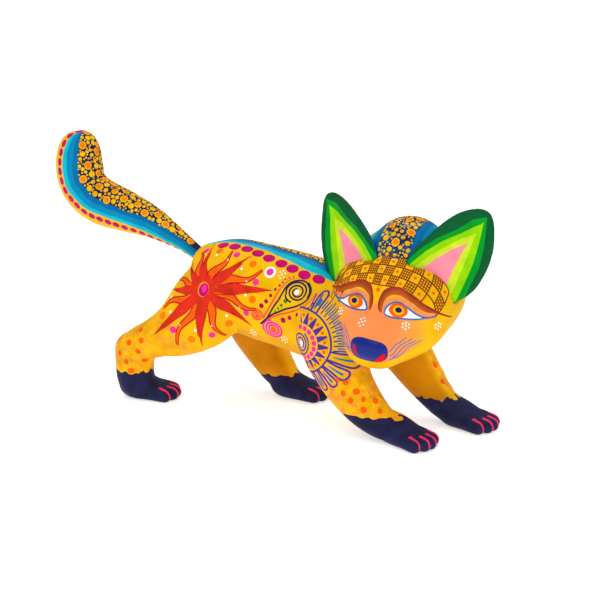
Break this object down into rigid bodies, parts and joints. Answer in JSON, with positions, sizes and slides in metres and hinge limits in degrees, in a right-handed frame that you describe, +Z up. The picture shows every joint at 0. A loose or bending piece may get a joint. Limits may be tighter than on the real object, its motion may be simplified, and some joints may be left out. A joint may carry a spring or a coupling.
{
  "type": "alebrije figure",
  "caption": "Carved and hand-painted wooden fox figure in a stretching crouch, head turned to its right, with plug-in ears and a raised plug-in tail.",
  "frame": {"origin": "on the ground, under the middle of the figure's bounding box", "axes": "+X the way the body faces, +Y to its left, +Z up"},
  "size_m": [0.2934, 0.083, 0.1545],
  "materials": {
    "yellow_paint": "satin acrylic paint on carved wood",
    "green_paint": "satin acrylic paint on carved wood",
    "blue_paint": "satin acrylic paint on carved wood",
    "bare_wood": "unpainted turned softwood",
    "navy_paint": "satin acrylic paint",
    "orange_paint": "satin acrylic paint",
    "red_paint": "satin acrylic paint",
    "magenta_paint": "satin acrylic paint",
    "pink_paint": "satin acrylic paint",
    "purple_paint": "satin acrylic paint",
    "brown_paint": "satin acrylic paint",
    "white_paint": "satin acrylic paint",
    "lime_paint": "satin acrylic paint",
    "nose_paint": "gloss acrylic paint"
  },
  "bodies": {
    "figure": {"torso": "yellow_paint", "head": "yellow_paint", "neck_dowel": "bare_wood", "right_front_leg": "yellow_paint", "left_front_leg": "yellow_paint", "right_hind_leg": "yellow_paint", "left_hind_leg": "yellow_paint", "right_shoulder_dowel": "bare_wood", "left_shoulder_dowel": "bare_wood", "right_hip_dowel": "bare_wood", "left_hip_dowel": "bare_wood"},
    "right_ear_body": {"right_ear": "green_paint", "right_ear_peg": "bare_wood"},
    "left_ear_body": {"left_ear": "green_paint", "left_ear_peg": "bare_wood"},
    "tail_body": {"tail": "blue_paint", "tail_peg": "bare_wood"}
  },
  "joints": [
    {"name": "right_ear_pull", "type": "slide", "parent": "figure", "child": "right_ear_body", "axis": [-0.4976, 0.2785, 0.8215], "range_m": [0, 0.032]},
    {"name": "left_ear_pull", "type": "slide", "parent": "figure", "child": "left_ear_body", "axis": [0.4976, 0.2785, 0.8215], "range_m": [0, 0.032]},
    {"name": "tail_pull", "type": "slide", "parent": "figure", "child": "tail_body", "axis": [-0.8742, 0, 0.4856], "range_m": [0, 0.024]}
  ]
}
